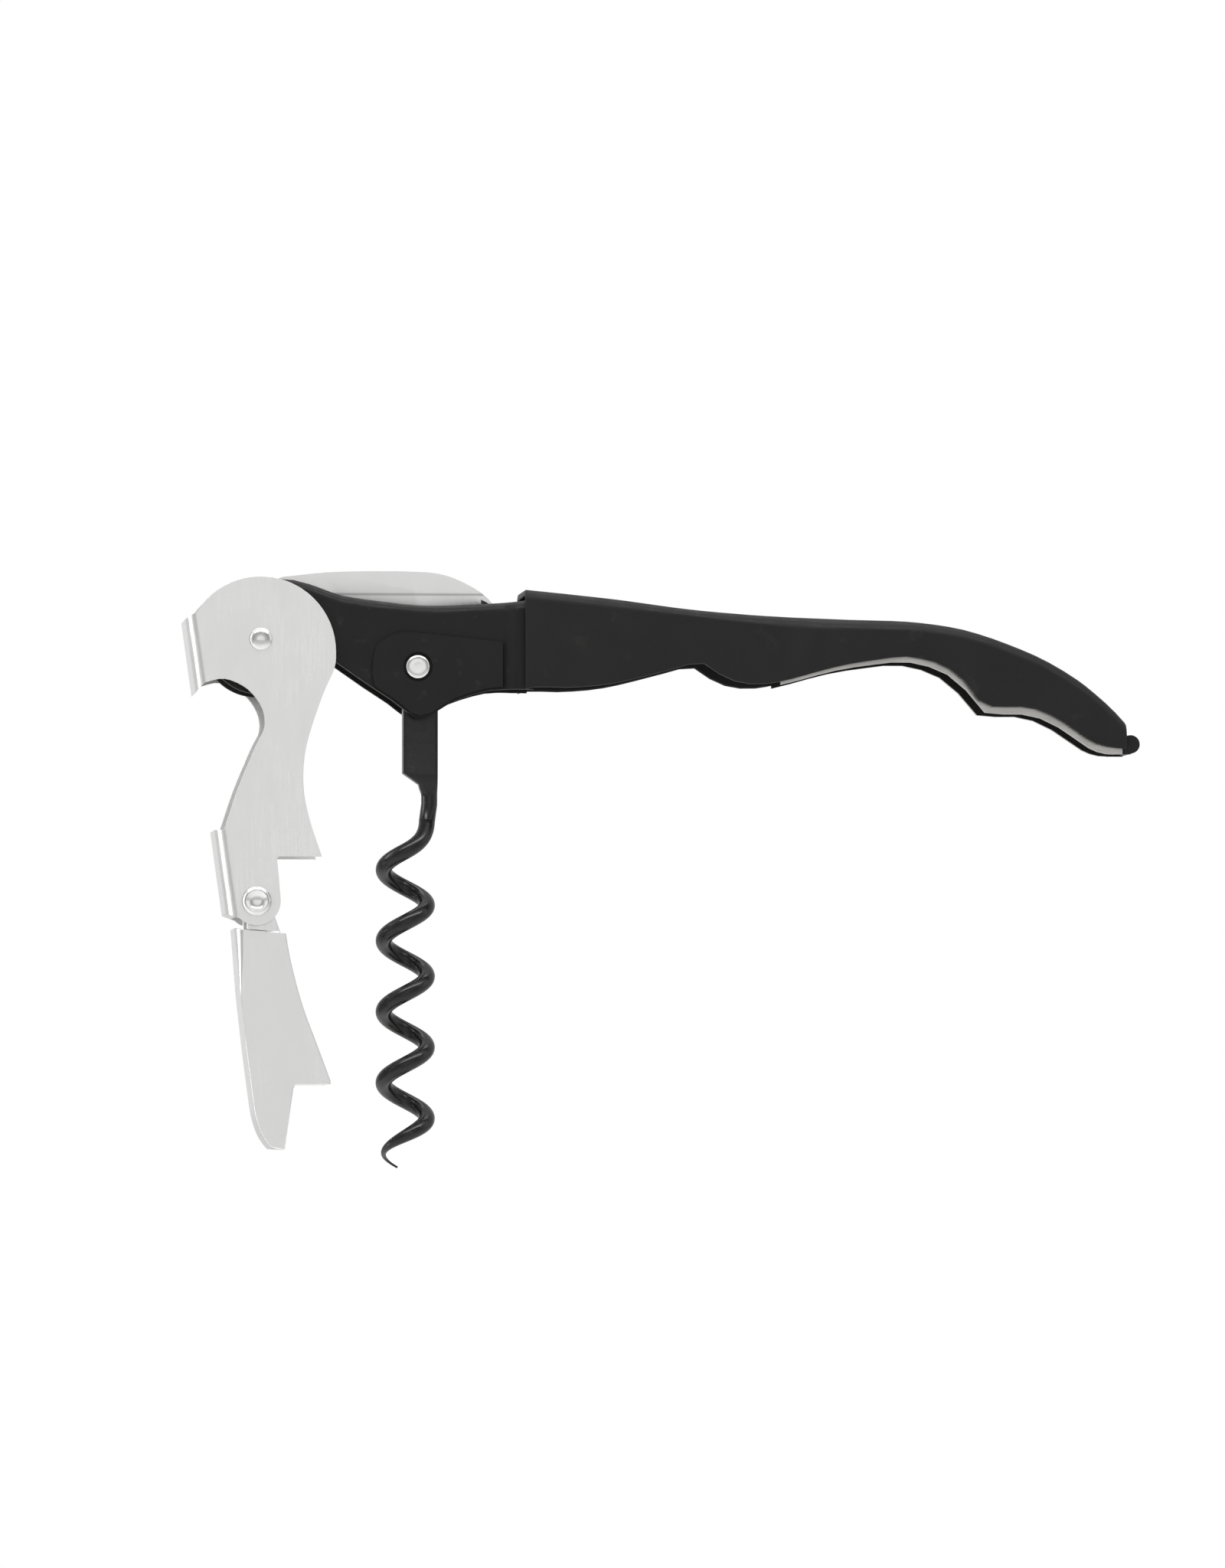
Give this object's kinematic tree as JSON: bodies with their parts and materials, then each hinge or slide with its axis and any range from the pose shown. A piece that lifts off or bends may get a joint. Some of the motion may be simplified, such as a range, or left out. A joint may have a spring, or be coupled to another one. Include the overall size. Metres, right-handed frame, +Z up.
{
  "type": "waiters corkscrew",
  "caption": "Folding waiters corkscrew: a black handle with a worm, a foil knife and a two-stage hinged lever.",
  "frame": {"origin": "on the worm pin's axis, midway between the walls of the body", "axes": "+X along the handle to its tip, +Y across it, +Z up away from the worm"},
  "size_m": [0.1242, 0.0164, 0.0774],
  "materials": {
    "black_coat": "satin",
    "grip_coat": "satin",
    "lever_nickel": "satin",
    "rivet_steel": "polished",
    "worm_coat": "gloss",
    "blade_steel": "brushed",
    "spring_steel": "satin",
    "bush_brass": "satin"
  },
  "bodies": {
    "handle": {"body_frame": "black_coat", "grip_cover": "grip_coat", "worm_pin": "rivet_steel", "worm_bush_near": "bush_brass", "worm_bush_far": "bush_brass", "worm_spring": "spring_steel", "spring_rivet": "rivet_steel", "knife_pin": "rivet_steel", "knife_bush_near": "bush_brass", "knife_bush_far": "bush_brass"},
    "pivot": {"lever_rivet": "rivet_steel"},
    "upper_lever": {"upper_lever": "lever_nickel", "hinge_rivet": "rivet_steel"},
    "lower_lever": {"lower_lever": "lever_nickel"},
    "worm": {"worm": "worm_coat"},
    "knife": {"knife_blade": "blade_steel"}
  },
  "joints": [
    {"name": "lever_fold", "type": "hinge", "parent": "handle", "child": "pivot", "pos_m": [-0.0204, 0, 0.0034], "axis": [0, -1, 0], "range_deg": [0, 72]},
    {"name": "lever_pull", "type": "hinge", "parent": "pivot", "child": "upper_lever", "pos_m": [-0.0204, 0, 0.0034], "axis": [0, -1, 0], "range_deg": [-40, 0]},
    {"name": "lever_knee", "type": "hinge", "parent": "upper_lever", "child": "lower_lever", "pos_m": [-0.0209, 0, -0.0304], "axis": [0, -1, 0], "range_deg": [-17, 14]},
    {"name": "worm_fold", "type": "hinge", "parent": "handle", "child": "worm", "pos_m": [0, 0, 0], "axis": [0, -1, 0], "range_deg": [0, 91.5]},
    {"name": "knife_fold", "type": "hinge", "parent": "handle", "child": "knife", "pos_m": [-0.0165, 0, 0.0089], "axis": [0, -1, 0], "range_deg": [0, 130]}
  ],
  "couplings": [
    {"joint": "worm_fold", "follows": "lever_fold", "ratio": 1.27}
  ]
}
